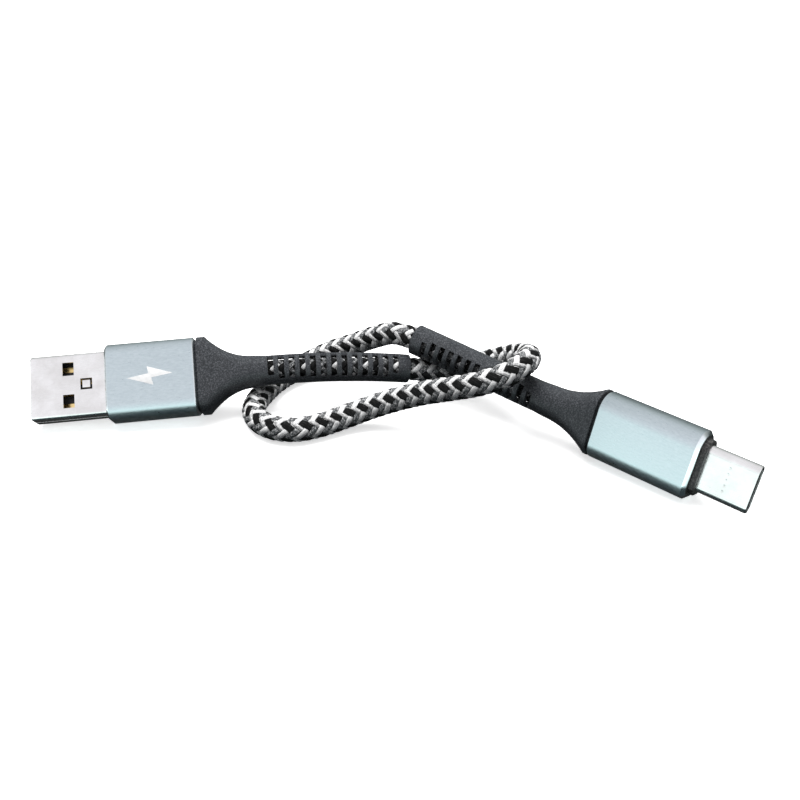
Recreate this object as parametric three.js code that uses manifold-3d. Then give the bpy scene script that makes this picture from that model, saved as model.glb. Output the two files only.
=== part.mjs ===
// A short braided charging cable lying on a table: a USB-A plug, a USB-C plug, a
// slotted strain relief behind each, and the free cord looped between them.
// Millimetres, +Z up, origin on the table under the middle of the two plugs.
import * as THREE from 'three';
import { mergeVertices } from 'three/addons/utils/BufferGeometryUtils.js';
import Module from 'manifold-3d';

const wasm = await Module();
wasm.setup();

// ---------------------------------------------------------------- fits
const FIT = 0.3; // between pieces that meet face to face
const CLOSE_FIT = 0.1; // between nested pieces inside a plug
const OVERCUT = 1; // how far a cutting shape stands out of what it cuts

// ---------------------------------------------------------------- cord
const CORD_DIAMETER = 4.5;
const GRIPPED_DIAMETER = 4.0; // the same cord where a strain relief squeezes it
const CORD_MESH = { sides: 10, step: 2.2 };

// The free cord from the USB-A strain relief to the USB-C one: under the USB-C strain
// relief, up and over it, down to the table, round, under the USB-A one and up again.
const CORD_ROUTE = [
  [7.7, 18.3, 6.0], [11.9, 19.3, 5.2], [16.4, 19.8, 5.3], [20.9, 19.2, 6.7],
  [24.8, 17.2, 8.8], [27.7, 14.1, 11.1], [29.2, 10.4, 12.9], [28.8, 6.8, 13.9],
  [27.0, 3.9, 14.0], [23.8, 1.9, 13.2], [19.6, 1.7, 11.8], [14.9, 3.4, 9.9],
  [9.9, 5.6, 7.7], [4.9, 6.8, 5.6], [-0.1, 6.9, 3.7], [-4.9, 5.3, 2.6],
  [-8.9, 3.2, 2.3], [-12.9, 1.8, 2.3], [-16.6, 2.3, 2.3], [-19.6, 4.5, 2.3],
  [-21.3, 7.9, 2.3], [-21.4, 11.6, 2.3], [-20.4, 15.3, 2.3], [-18.9, 19.1, 2.3],
  [-16.3, 22.9, 2.5], [-12.6, 25.7, 3.6], [-8.1, 26.9, 5.4], [-3.4, 26.3, 7.4],
  [0.9, 24.6, 9.8], [4.6, 22.6, 11.6], [8.7, 20.5, 11.5],
];

// ---------------------------------------------------------------- strain relief
const BOOT = {
  length: 40, // behind the sleeve
  groove: 0.35, // shadow gap between sleeve and collar
  collar: 1.4,
  spigot: 1.0, // reaches into the sleeve
  neckAt: 10.5,
  neckDiameter: 6.1,
  ribDiameter: 5.6,
  mouthDiameter: 5.5,
  mouthBand: 2.4, // solid band behind the last slot
  plainTail: 2.6, // about this much between the neck and the first slot
  slotPitch: 1.95,
  slotWidth: 1.1,
  spineHalf: 0.95, // half height of the solid spine along each narrow side
  flarePower: 2.2,
  flareSteps: 7,
  boreClearance: 0.2,
  throatLength: 4,
  throatRadius: 1,
  throatWall: 0.8,
};

const TAIL_START = 6; // behind the sleeve, where the gripped cord's jacket ends
const GRIPPED_MESH = { perCorner: 3, steps: 14 };
const SPINE_STEPS = 40; // straight steps that a strain relief's line is summed from

// The four insulated leads: straight out of the jacket, fanned out, then straight to their pads.
const LEAD = {
  diameter: 0.9,
  spread: 0.75,
  straight: 1.5,
  fanAt: -1.5,
  fanY: 0.5,
  fanZ: 0.6,
  landing: 2,
  sides: 8,
  step: 1.6,
};

// ---------------------------------------------------------------- USB-A plug
const A = {
  sleeve: { width: 14.4, height: 7.6, length: 16.4, radius: 2.5, wall: 0.6, front: 0.4, back: 0.4 },
  shell: { width: 12.0, height: 4.5, radius: 0.7, wall: 0.3, exposed: 13.6, buried: 8.4 },
  window: { length: 2.0, width: 2.5, spacing: 6.1, fromTip: 5.8 },
  tongue: { height: 1.8, frontSetback: 0.6 },
  contact: { width: 1.0, height: 0.25, places: [3.5, 1.0, -1.0, -3.5], frontSetback: 1.1 },
  leadSlot: { width: 9.4, height: 2.6 },
  boss: 0, // the inner mould ends flush with the sleeve
};

// ---------------------------------------------------------------- USB-C plug
const C = {
  sleeve: { width: 12.0, height: 7.0, length: 18.2, radius: 3.0, wall: 0.8, front: 0.6, back: 0.3 },
  shell: { width: 8.25, height: 2.4, radius: 1.2, wall: 0.22, exposed: 8.3, buried: 9.1 },
  contact: { width: 0.25, height: 0.12, pitch: 0.5, apart: 0.66, frontSetback: 0.5, overBoard: 1.4 },
  housing: { sideWall: 0.2, frontSetback: 0.2, length: 15.0, webLength: 7.4 },
  latch: {
    length: 6.1, thickness: 0.2, height: 0.44, hook: 0.3, hookLength: 0.4, hookPeak: 0.6, travel: 0.25,
  },
  board: { width: 7.4, length: 8.6, gap: 1.9, padPitch: 1.5 },
  resistor: { length: 1.0, width: 0.5, height: 0.35, x: 6.2, y: 1.6 },
  leadSlot: { width: 8.9, height: 3.6 },
  boss: 0.9, // the inner mould stands this far out of the sleeve
  bossInset: 0.3,
};

// ---------------------------------------------------------------- how the plugs lie
// x and y of the back of the sleeve on the table, and angles in degrees. bend gives the
// strain relief's turn and climb away from the plug's own line, at distances behind the sleeve.
const A_POSE = {
  x: -32.0, y: 12.4, yaw: 187, pitch: 2.2, roll: -47,
  bend: [{ at: 12, turn: 0, climb: 0 }, { at: 40, turn: 4, climb: -12 }],
};
const C_POSE = {
  x: 40.7, y: -3.1, yaw: -42, pitch: 2, roll: 73,
  bend: [{ at: 8, turn: 0, climb: 0 }, { at: 24, turn: 7, climb: 7 }, { at: 40, turn: 14, climb: 10 }],
};

const radians = THREE.MathUtils.degToRad;
const lerp = THREE.MathUtils.lerp;

// ================================================================ shape tools

// A rounded rectangle as points [y, z], counter-clockwise seen from the plug's tip.
// The corner arcs miss their own ends, so a circle is a rounded rectangle too.
function outline(width, height, radius, perCorner = 4) {
  const step = Math.PI / 2 / perCorner;
  const arc = radius / Math.cos(step / 2);
  const points = [];
  for (let corner = 0; corner < 4; corner++) {
    const signY = corner === 0 || corner === 3 ? 1 : -1;
    const signZ = corner < 2 ? 1 : -1;
    for (let k = 0; k < perCorner; k++) {
      const angle = (corner * Math.PI) / 2 + (k + 0.5) * step;
      points.push([
        signY * (width / 2 - radius) + arc * Math.cos(angle),
        signZ * (height / 2 - radius) + arc * Math.sin(angle),
      ]);
    }
  }
  return points;
}

const circle = (diameter, perCorner) => outline(diameter, diameter, diameter / 2, perCorner);

// Joins outlines [{ x, points }] into one skin. A solid is capped at both ends; a tube's
// list runs out along the outside and back along the inside, and closes on itself.
function loft(stations, isTube = false) {
  const count = stations[0].points.length;
  const positions = stations.flatMap(({ x, points }) => points.flatMap(([y, z]) => [x, y, z]));
  const index = [];
  const joins = isTube ? stations.length : stations.length - 1;
  for (let i = 0; i < joins; i++) {
    const near = i * count;
    const far = ((i + 1) % stations.length) * count;
    for (let j = 0; j < count; j++) {
      const next = (j + 1) % count;
      index.push(near + j, near + next, far + next, near + j, far + next, far + j);
    }
  }
  if (!isTube) {
    const last = (stations.length - 1) * count;
    for (let j = 1; j < count - 1; j++) {
      index.push(0, j + 1, j, last, last + j, last + j + 1);
    }
  }
  const geometry = new THREE.BufferGeometry();
  geometry.setAttribute('position', new THREE.Float32BufferAttribute(positions, 3));
  geometry.setIndex(index);
  return geometry;
}

// A box between two corners.
function block(low, high) {
  const size = high.map((value, i) => value - low[i]);
  const middle = high.map((value, i) => (value + low[i]) / 2);
  return new THREE.BoxGeometry(...size).translate(...middle);
}

// A straight bar of one outline along x.
function bar(points, from, to) {
  const shape = new THREE.Shape(points.map(([y, z]) => new THREE.Vector2(y, z)));
  const geometry = new THREE.ExtrudeGeometry(shape, { depth: to - from, bevelEnabled: false });
  const turned = new THREE.Matrix4().makeBasis(
    new THREE.Vector3(0, 1, 0), new THREE.Vector3(0, 0, 1), new THREE.Vector3(1, 0, 0));
  return geometry.applyMatrix4(turned).translate(from, 0, 0);
}

function toSolid(geometry) {
  const bare = geometry.clone();
  bare.deleteAttribute('normal');
  bare.deleteAttribute('uv');
  const merged = mergeVertices(bare, 1e-4);
  return new wasm.Manifold(new wasm.Mesh({
    numProp: 3,
    vertProperties: new Float32Array(merged.attributes.position.array),
    triVerts: new Uint32Array(merged.index.array),
  }));
}

function toGeometry(solid) {
  const mesh = solid.getMesh();
  const geometry = new THREE.BufferGeometry();
  geometry.setAttribute('position', new THREE.BufferAttribute(mesh.vertProperties, 3));
  geometry.setIndex(new THREE.BufferAttribute(mesh.triVerts, 1));
  return geometry;
}

// base with every shape in add joined on, then every shape in cut taken out.
function carve(base, { add = [], cut = [] }) {
  let solid = toSolid(base);
  for (const shape of add) solid = solid.add(toSolid(shape));
  for (const shape of cut) solid = solid.subtract(toSolid(shape));
  return toGeometry(solid);
}

// A round wire or cord through the points, with a step about every `step` millimetres.
function tube(points, diameter, sides, step) {
  const path = new THREE.CatmullRomCurve3(points.map((p) => new THREE.Vector3(...p)));
  const section = new THREE.Shape();
  for (let k = 0; k < sides; k++) {
    const angle = (2 * Math.PI * k) / sides;
    const place = [(diameter / 2) * Math.cos(angle), (diameter / 2) * Math.sin(angle)];
    if (k === 0) section.moveTo(...place);
    else section.lineTo(...place);
  }
  const steps = Math.max(2, Math.round(path.getLength() / step));
  return new THREE.ExtrudeGeometry(section, { steps, extrudePath: path, bevelEnabled: false });
}

// ================================================================ finishes

const finish = (color, roughness, metalness) =>
  new THREE.MeshStandardMaterial({ color, roughness, metalness, flatShading: true });

const FINISH = {
  anodised: finish('#8fa9ae', 0.35, 1.0),
  nickel: finish('#dcdad4', 0.22, 1.0),
  steel: finish('#b4b4b0', 0.3, 1.0),
  gold: finish('#d9b25a', 0.3, 1.0),
  blackRubber: finish('#26292c', 0.75, 0.0),
  blackPlastic: finish('#17191b', 0.5, 0.0),
  board: finish('#1f5a38', 0.45, 0.0),
  resistor: finish('#1a1a1c', 0.4, 0.0),
  braid: finish('#9a9c9c', 0.85, 0.0),
  red: finish('#b3231d', 0.5, 0.0),
  white: finish('#e8e6e0', 0.5, 0.0),
  green: finish('#1f7a3a', 0.5, 0.0),
  black: finish('#1b1b1d', 0.5, 0.0),
};

function piece(name, geometry, material) {
  const mesh = new THREE.Mesh(geometry, material);
  mesh.name = name;
  return mesh;
}

// ================================================================ placing a plug

// How far a rolled sleeve's lowest edge is below its axis.
function standHeight({ width, height, radius }, roll) {
  const angle = radians(roll);
  const across = (width / 2 - radius) * Math.abs(Math.sin(angle));
  return across + (height / 2 - radius) * Math.abs(Math.cos(angle)) + radius;
}

function heading(pose, turn = 0, climb = 0) {
  const euler = new THREE.Euler(
    radians(pose.roll), radians(pose.pitch + climb), radians(pose.yaw + turn), 'ZYX');
  return new THREE.Matrix4().makeRotationFromEuler(euler);
}

// A plug's group stands with the front edge of its sleeve on the table. In it, x runs from
// the back of the sleeve to the tip, y along the plug's width, z out of its broad face.
function placePlug(pose, sleeve) {
  const group = new THREE.Group();
  const rise = sleeve.length * Math.sin(radians(pose.pitch));
  group.position.set(pose.x, pose.y, standHeight(sleeve, pose.roll) + rise);
  group.rotation.set(radians(pose.roll), radians(pose.pitch), radians(pose.yaw), 'ZYX');
  return group;
}

// The strain relief's own line in its plug's frame: frameAt(d) is the frame d behind the sleeve.
class Spine {
  constructor(pose) {
    this.pose = pose;
    this.stops = [{ at: 0, turn: 0, climb: 0 }, ...pose.bend];
    this.home = heading(pose).invert();
  }

  angles(distance) {
    const last = this.stops.findIndex(({ at }) => at >= distance);
    if (last === 0) return this.stops[0];
    if (last < 0) return this.stops[this.stops.length - 1];
    const [from, to] = [this.stops[last - 1], this.stops[last]];
    const share = (distance - from.at) / (to.at - from.at);
    return { turn: lerp(from.turn, to.turn, share), climb: lerp(from.climb, to.climb, share) };
  }

  rotationAt(distance) {
    const { turn, climb } = this.angles(distance);
    return this.home.clone().multiply(heading(this.pose, turn, climb));
  }

  frameAt(distance) {
    const stride = distance / SPINE_STEPS;
    const place = new THREE.Vector3();
    for (let i = 0; i < SPINE_STEPS; i++) {
      const ahead = new THREE.Vector3().setFromMatrixColumn(this.rotationAt((i + 0.5) * stride), 0);
      place.addScaledVector(ahead, -stride);
    }
    return this.rotationAt(distance).setPosition(place);
  }

  // Bends a straight shape along the line: everything behind the sleeve follows it.
  bend(geometry) {
    const position = geometry.attributes.position;
    const vertex = new THREE.Vector3();
    for (let i = 0; i < position.count; i++) {
      vertex.fromBufferAttribute(position, i);
      if (vertex.x >= 0) continue;
      const frame = this.frameAt(-vertex.x);
      vertex.setX(0).applyMatrix4(frame);
      position.setXYZ(i, vertex.x, vertex.y, vertex.z);
    }
    return geometry;
  }
}

// ================================================================ shared plug parts

function sleeveGeometry({ width, height, length, radius, wall, front, back }) {
  const outer = (inset, x) => ({
    x, points: outline(width - 2 * inset, height - 2 * inset, radius - inset),
  });
  return loft([
    outer(back, 0), outer(0, back), outer(0, length - front), outer(front, length),
    outer(wall, length), outer(wall, 0),
  ], true);
}

function shellGeometry({ width, height, radius, wall }, from, to) {
  const skin = (inset, x) => ({
    x, points: outline(width - 2 * inset, height - 2 * inset, radius - inset),
  });
  return loft([skin(0, from), skin(0, to), skin(wall, to), skin(wall, from)], true);
}

// The moulded filling between sleeve and shell, with a hole for the shell in front, a hollow
// for the leads behind, and a boss if it stands out of the sleeve.
function innerMouldGeometry(plug) {
  const { sleeve, shell, leadSlot, boss, bossInset = 0 } = plug;
  const inset = sleeve.wall + CLOSE_FIT;
  const body = (extra) => outline(
    sleeve.width - 2 * (inset + extra), sleeve.height - 2 * (inset + extra), sleeve.radius - inset - extra);
  const back = BOOT.spigot + FIT;
  const shellBack = sleeve.length + boss - shell.buried;
  const holeBack = shellBack - CLOSE_FIT;
  const front = sleeve.length + boss;
  const hole = outline(
    shell.width + 2 * CLOSE_FIT, shell.height + 2 * CLOSE_FIT, shell.radius + CLOSE_FIT);
  const stations = [{ x: back, points: body(0) }, { x: sleeve.length, points: body(0) }];
  if (boss > 0) {
    stations.push({ x: sleeve.length, points: body(bossInset) }, { x: front, points: body(bossInset) });
  }
  return carve(loft(stations), {
    cut: [
      bar(hole, holeBack, front + OVERCUT),
      block(
        [back - OVERCUT, -leadSlot.width / 2, -leadSlot.height / 2],
        [holeBack + CLOSE_FIT, leadSlot.width / 2, leadSlot.height / 2]),
    ],
  });
}

// The slots are counted forward from the mouth, as many as fit behind the neck.
const lastSlot = BOOT.length - BOOT.mouthBand - BOOT.slotWidth;
const slotCount = 1 + Math.round((lastSlot - BOOT.neckAt - BOOT.plainTail) / BOOT.slotPitch);
const slotStarts = Array.from({ length: slotCount }, (_, i) =>
  lastSlot - (slotCount - 1 - i) * BOOT.slotPitch);

// The strain relief: a collar of the sleeve's section, a flare down to a neck, and a ribbed
// tail whose slots open its two broad sides down to the cord.
function bootGeometry(plug, spine) {
  const { sleeve, leadSlot } = plug;
  const collarBack = BOOT.groove + BOOT.collar;
  const inset = sleeve.wall + CLOSE_FIT;
  const outside = [
    { x: BOOT.spigot, w: sleeve.width - 2 * inset, h: sleeve.height - 2 * inset, r: sleeve.radius - inset },
    { x: -BOOT.groove, w: sleeve.width - 2 * inset, h: sleeve.height - 2 * inset, r: sleeve.radius - inset },
    { x: -BOOT.groove, w: sleeve.width, h: sleeve.height, r: sleeve.radius },
    { x: -collarBack, w: sleeve.width, h: sleeve.height, r: sleeve.radius },
  ];
  for (let i = 1; i <= BOOT.flareSteps; i++) {
    const t = i / BOOT.flareSteps;
    const left = (1 - t) ** BOOT.flarePower;
    const w = lerp(BOOT.neckDiameter, sleeve.width, left);
    const h = lerp(BOOT.neckDiameter, sleeve.height, left);
    const r = Math.min(lerp(sleeve.radius, BOOT.neckDiameter / 2, t), w / 2, h / 2);
    outside.push({ x: -lerp(collarBack, BOOT.neckAt, t), w, h, r });
  }
  const tail = slotStarts.flatMap((start) => [start, start + BOOT.slotWidth]);
  for (const at of [...tail, BOOT.length]) {
    const share = (at - tail[0]) / (BOOT.length - tail[0]);
    const d = lerp(BOOT.ribDiameter, BOOT.mouthDiameter, share);
    outside.push({ x: -at, w: d, h: d, r: d / 2 });
  }
  const bore = GRIPPED_DIAMETER + 2 * BOOT.boreClearance;
  const boreEnds = [BOOT.length, ...[...tail].reverse(), BOOT.neckAt, collarBack + BOOT.throatLength];
  const inside = boreEnds.map((at) => ({ x: -at, w: bore, h: bore, r: bore / 2 }));
  const throatHeight = Math.min(leadSlot.height, sleeve.height - 2 * (inset + BOOT.throatWall));
  const throat = { w: leadSlot.width, h: throatHeight, r: BOOT.throatRadius };
  inside.push({ x: -collarBack, ...throat }, { x: BOOT.spigot, ...throat });
  const station = ({ x, w, h, r }) => ({ x, points: outline(w, h, r) });
  // The outside runs to the mouth and the inside back again, and the list is turned round so that
  // the skin faces out.
  const skin = loft([...outside, ...inside].map(station).reverse(), true);
  const reach = BOOT.neckDiameter;
  const cut = slotStarts.flatMap((start) => [1, -1].map((side) => {
    const [low, high] = [BOOT.spineHalf * side, reach * side].sort((a, b) => a - b);
    return block([-start - BOOT.slotWidth, -reach, low], [-start, reach, high]);
  }));
  return spine.bend(carve(skin, { cut }));
}

function grippedCordGeometry(spine) {
  const end = BOOT.length - CLOSE_FIT;
  const stations = [];
  for (let i = 0; i <= GRIPPED_MESH.steps; i++) {
    stations.push({
      x: -lerp(end, TAIL_START, i / GRIPPED_MESH.steps),
      points: circle(GRIPPED_DIAMETER, GRIPPED_MESH.perCorner),
    });
  }
  return spine.bend(loft(stations));
}

// Four leads fan out from the end of the jacket to the places in `targets` at x = `to`.
function leads(prefix, targets, to) {
  const starts = [[1, -1], [1, 1], [-1, 1], [-1, -1]].map(([y, z]) => [y * LEAD.spread, z * LEAD.spread]);
  const colours = ['red', 'white', 'green', 'black'];
  return colours.map((colour, i) => {
    const [y0, z0] = starts[i];
    const [y1, z1] = targets[i];
    const from = -TAIL_START + FIT;
    const route = [
      [from, y0, z0], [from + LEAD.straight, y0, z0],
      [LEAD.fanAt, lerp(y0, y1, LEAD.fanY), lerp(z0, z1, LEAD.fanZ)],
      [to - LEAD.landing, y1, z1], [to, y1, z1],
    ];
    const lead = tube(route, LEAD.diameter, LEAD.sides, LEAD.step);
    return piece(`${prefix}_lead_${colour}`, lead, FINISH[colour]);
  });
}

// ================================================================ USB-A plug

function usbAPlug() {
  const group = placePlug(A_POSE, A.sleeve);
  const spine = new Spine(A_POSE);
  const { shell, tongue, contact, window } = A;
  const tip = A.sleeve.length + shell.exposed;
  const shellBack = A.sleeve.length - shell.buried;

  const windows = [1, -1].flatMap((face) => [1, -1].map((side) => {
    const y = (side * window.spacing) / 2;
    const x = tip - window.fromTip - window.length;
    const innerFace = shell.height / 2 - shell.wall - OVERCUT;
    const [low, high] = [innerFace * face, shell.height * face].sort((a, b) => a - b);
    return block([x, y - window.width / 2, low], [x + window.length, y + window.width / 2, high]);
  }));
  const shellTube = shellGeometry(shell, shellBack, tip);
  group.add(piece('usb_a_shell', carve(shellTube, { cut: windows }), FINISH.nickel));

  const innerHalf = shell.height / 2 - shell.wall;
  const tongueLow = -innerHalf + CLOSE_FIT;
  const tongueTop = tongueLow + tongue.height;
  const tongueHalf = shell.width / 2 - shell.wall - CLOSE_FIT;
  const contactLow = tongueTop - contact.height;
  const tongueBack = shellBack + FIT;
  const grooves = contact.places.map((y) => {
    const half = contact.width / 2 + CLOSE_FIT;
    return block(
      [tongueBack - OVERCUT, y - half, contactLow - CLOSE_FIT],
      [tip - contact.frontSetback + CLOSE_FIT, y + half, tongueTop + OVERCUT]);
  });
  const tongueOutline = outline(2 * tongueHalf, tongue.height, shell.radius - shell.wall);
  const tongueBlock = bar(tongueOutline, tongueBack, tip - tongue.frontSetback)
    .translate(0, 0, tongueLow + tongue.height / 2);
  group.add(piece('usb_a_tongue', carve(tongueBlock, { cut: grooves }), FINISH.blackPlastic));

  ['vbus', 'd_minus', 'd_plus', 'gnd'].forEach((signal, i) => {
    const y = contact.places[i];
    const strip = block(
      [tongueBack, y - contact.width / 2, contactLow],
      [tip - contact.frontSetback, y + contact.width / 2, tongueTop]);
    group.add(piece(`usb_a_contact_${signal}`, strip, FINISH.gold));
  });

  group.add(piece('usb_a_inner_mould', innerMouldGeometry(A), FINISH.blackPlastic));
  group.add(piece('usb_a_sleeve', sleeveGeometry(A.sleeve), FINISH.anodised));
  group.add(piece('usb_a_strain_relief', bootGeometry(A, spine), FINISH.blackRubber));
  group.add(piece('usb_a_gripped_cord', grippedCordGeometry(spine), FINISH.braid));
  const solder = contact.places.map((y) => [y, contactLow + contact.height / 2]);
  group.add(...leads('usb_a', solder, tongueBack - FIT));
  return group;
}

// ================================================================ USB-C plug

// The populated contacts of a charging and USB 2.0 plug, by their number in each row.
const UPPER_CONTACTS = {
  a1_gnd: 1, a4_vbus: 4, a5_cc: 5, a6_d_plus: 6, a7_d_minus: 7, a9_vbus: 9, a12_gnd: 12,
};
const LOWER_CONTACTS = { b1_gnd: 1, b4_vbus: 4, b9_vbus: 9, b12_gnd: 12 };
const ROW_MIDDLE = 6.5;

function usbCPlug() {
  const group = placePlug(C_POSE, C.sleeve);
  const spine = new Spine(C_POSE);
  const { shell, contact, housing, latch, board, resistor } = C;
  const front = C.sleeve.length + C.boss;
  const tip = front + shell.exposed;
  const shellBack = front - shell.buried;
  group.add(piece('usb_c_shell', shellGeometry(shell, shellBack, tip), FINISH.nickel));

  // Plastic housing: a flat tube round the contacts with a web between the two rows.
  const inset = shell.wall + CLOSE_FIT;
  const housingWidth = shell.width - 2 * inset;
  const housingHeight = shell.height - 2 * inset;
  const housingFront = tip - housing.frontSetback;
  const housingBack = housingFront - housing.length;
  const mouthWidth = housingWidth - 2 * housing.sideWall;
  const mouthHeight = contact.apart + 2 * (contact.height + CLOSE_FIT);
  const webHalf = contact.apart / 2 - CLOSE_FIT;
  const housingBar = bar(outline(housingWidth, housingHeight, housingHeight / 2), housingBack, housingFront);
  const mouthOutline = outline(mouthWidth, mouthHeight, mouthHeight / 2);
  const mouth = bar(mouthOutline, housingBack - OVERCUT, housingFront + OVERCUT);
  const webFront = housingBack + housing.webLength;
  const web = block(
    [housingBack, -housingWidth / 2 + housing.sideWall / 2, -webHalf],
    [webFront, housingWidth / 2 - housing.sideWall / 2, webHalf]);
  const housingSolid = toSolid(housingBar).subtract(toSolid(mouth)).add(toSolid(web));
  group.add(piece('usb_c_housing', toGeometry(housingSolid), FINISH.blackPlastic));

  const boardBack = BOOT.spigot + FIT + board.gap;
  const boardFront = boardBack + board.length;
  const contactBack = boardFront - contact.overBoard;
  const contactFront = housingFront - contact.frontSetback;
  const strips = (numbers, face) => Object.entries(numbers).map(([name, number]) => {
    const y = (ROW_MIDDLE - number) * contact.pitch * face;
    const middle = (face * (contact.apart + contact.height)) / 2;
    const strip = block(
      [contactBack, y - contact.width / 2, middle - contact.height / 2],
      [contactFront, y + contact.width / 2, middle + contact.height / 2]);
    return piece(`usb_c_contact_${name}`, strip, FINISH.gold);
  });
  group.add(...strips(UPPER_CONTACTS, 1), ...strips(LOWER_CONTACTS, -1));

  // Side latches: a thin arm each, rooted in front of the web, with a hook at the tip.
  const latchOuter = mouthWidth / 2 - latch.travel - CLOSE_FIT;
  const latchInner = latchOuter - latch.thickness;
  const latchBack = webFront + FIT;
  const latchTip = latchBack + latch.length;
  for (const [name, side] of [['left', 1], ['right', -1]]) {
    const arm = new THREE.Shape();
    arm.moveTo(latchBack, side * latchInner);
    arm.lineTo(latchTip - latch.hookLength, side * latchInner);
    arm.lineTo(latchTip - latch.hookLength * latch.hookPeak, side * (latchInner - latch.hook));
    arm.lineTo(latchTip, side * latchInner);
    arm.lineTo(latchTip, side * latchOuter);
    arm.lineTo(latchBack, side * latchOuter);
    arm.closePath();
    const geometry = new THREE.ExtrudeGeometry(arm, { depth: latch.height, bevelEnabled: false });
    geometry.translate(0, 0, -latch.height / 2);
    group.add(piece(`usb_c_latch_${name}`, geometry, FINISH.steel));
  }

  const boardSolid = block([boardBack, -board.width / 2, -webHalf], [boardFront, board.width / 2, webHalf]);
  group.add(piece('usb_c_board', boardSolid, FINISH.board));
  const chip = new THREE.BoxGeometry(resistor.length, resistor.width, resistor.height)
    .translate(resistor.x, resistor.y, webHalf + CLOSE_FIT + resistor.height / 2);
  group.add(piece('usb_c_pull_up_resistor', chip, FINISH.resistor));

  group.add(piece('usb_c_inner_mould', innerMouldGeometry(C), FINISH.blackPlastic));
  group.add(piece('usb_c_sleeve', sleeveGeometry(C.sleeve), FINISH.anodised));
  group.add(piece('usb_c_strain_relief', bootGeometry(C, spine), FINISH.blackRubber));
  group.add(piece('usb_c_gripped_cord', grippedCordGeometry(spine), FINISH.braid));
  const pads = [1.5, 0.5, -0.5, -1.5].map((place) => [place * board.padPitch, 0]);
  group.add(...leads('usb_c', pads, boardBack - FIT));
  return group;
}

// ================================================================ the whole cable

const plugs = new THREE.Group();
plugs.add(usbAPlug(), usbCPlug());

const cord = tube(CORD_ROUTE, CORD_DIAMETER, CORD_MESH.sides, CORD_MESH.step);
const cable = new THREE.Group();
cable.add(plugs, piece('braided_cord', cord, FINISH.braid));

// The origin is on the table, under the middle of the box round the two plugs.
cable.updateMatrixWorld(true);
const box = new THREE.Box3().setFromObject(plugs, true);
const middle = box.getCenter(new THREE.Vector3());
cable.position.set(-middle.x, -middle.y, -box.min.z);

export default cable;
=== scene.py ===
"""A short braided charging cable lying on a table.

A USB-A plug and a USB-C plug, each with a satin anodised sleeve, a plated shell and a
slotted strain relief, joined by a round braided cord. Lengths in the classes are in
millimetres and turn into metres as each mesh is finished. In a plug's own frame x runs
from the back of the sleeve to the tip, y along its width and z out of its broad face.
"""

import logging
import math
from dataclasses import dataclass
from enum import Enum

import bmesh
import bpy
import numpy as np
from mathutils import Matrix, Vector


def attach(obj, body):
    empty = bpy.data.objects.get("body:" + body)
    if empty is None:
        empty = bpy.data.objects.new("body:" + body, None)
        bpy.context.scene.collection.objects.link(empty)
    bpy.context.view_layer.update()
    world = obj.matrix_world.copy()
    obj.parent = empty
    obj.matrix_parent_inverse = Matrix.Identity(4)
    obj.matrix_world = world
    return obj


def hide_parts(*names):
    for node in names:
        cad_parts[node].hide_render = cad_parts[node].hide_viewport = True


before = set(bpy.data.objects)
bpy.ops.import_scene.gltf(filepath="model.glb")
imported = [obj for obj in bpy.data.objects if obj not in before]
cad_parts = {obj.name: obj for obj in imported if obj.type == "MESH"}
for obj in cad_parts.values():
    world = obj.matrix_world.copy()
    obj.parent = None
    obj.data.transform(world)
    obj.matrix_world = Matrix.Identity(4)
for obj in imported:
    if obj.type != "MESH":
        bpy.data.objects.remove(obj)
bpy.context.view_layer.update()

log = logging.getLogger("cable")

Colour = tuple[float, float, float]
Stops = tuple[tuple[float, Colour], ...]

MM = 0.001
CABLE_BODY = "cable"

# How far the whole cable is moved so that it stands centred on its origin.
CENTRING = (0.0127, 0.0207, 0.0188)

# The free cord's line from the USB-A strain relief to the USB-C one, in metres.
CORD_ROUTE = (
    (0.0077, 0.0183, 0.0060), (0.0119, 0.0193, 0.0052), (0.0164, 0.0198, 0.0053),
    (0.0209, 0.0192, 0.0067), (0.0248, 0.0172, 0.0088), (0.0277, 0.0141, 0.0111),
    (0.0292, 0.0104, 0.0129), (0.0288, 0.0068, 0.0139), (0.0270, 0.0039, 0.0140),
    (0.0238, 0.0019, 0.0132), (0.0196, 0.0017, 0.0118), (0.0149, 0.0034, 0.0099),
    (0.0099, 0.0056, 0.0077), (0.0049, 0.0068, 0.0056), (-0.0001, 0.0069, 0.0037),
    (-0.0049, 0.0053, 0.0026), (-0.0089, 0.0032, 0.0023), (-0.0129, 0.0018, 0.0023),
    (-0.0166, 0.0023, 0.0023), (-0.0196, 0.0045, 0.0023), (-0.0213, 0.0079, 0.0023),
    (-0.0214, 0.0116, 0.0023), (-0.0204, 0.0153, 0.0023), (-0.0189, 0.0191, 0.0023),
    (-0.0163, 0.0229, 0.0025), (-0.0126, 0.0257, 0.0036), (-0.0081, 0.0269, 0.0054),
    (-0.0034, 0.0263, 0.0074), (0.0009, 0.0246, 0.0098), (0.0046, 0.0226, 0.0116),
    (0.0087, 0.0205, 0.0115),
)


# ---------------------------------------------------------------- places and turns


def rotation_columns(yaw: np.ndarray, pitch: np.ndarray, roll: float) -> np.ndarray:
    """The three axes of a frame that is rolled, then pitched, then yawed.

    Args:
        yaw: Turns about the upright axis, in radians.
        pitch: Turns about the cross axis, in radians.
        roll: The turn about its own length, in radians.

    Returns:
        An array of shape (count, 3, 3) whose last index runs over x, y and z axes.
    """
    ca, sa = np.cos(yaw), np.sin(yaw)
    cb, sb = np.cos(pitch), np.sin(pitch)
    cr, sr = math.cos(roll), math.sin(roll)
    along = np.stack([ca * cb, sa * cb, -sb], axis=-1)
    across = np.stack([ca * sb * sr - sa * cr, sa * sb * sr + ca * cr, cb * sr], axis=-1)
    out = np.stack([ca * sb * cr + sa * sr, sa * sb * cr - ca * sr, cb * cr], axis=-1)
    return np.stack([along, across, out], axis=-1)


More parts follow.
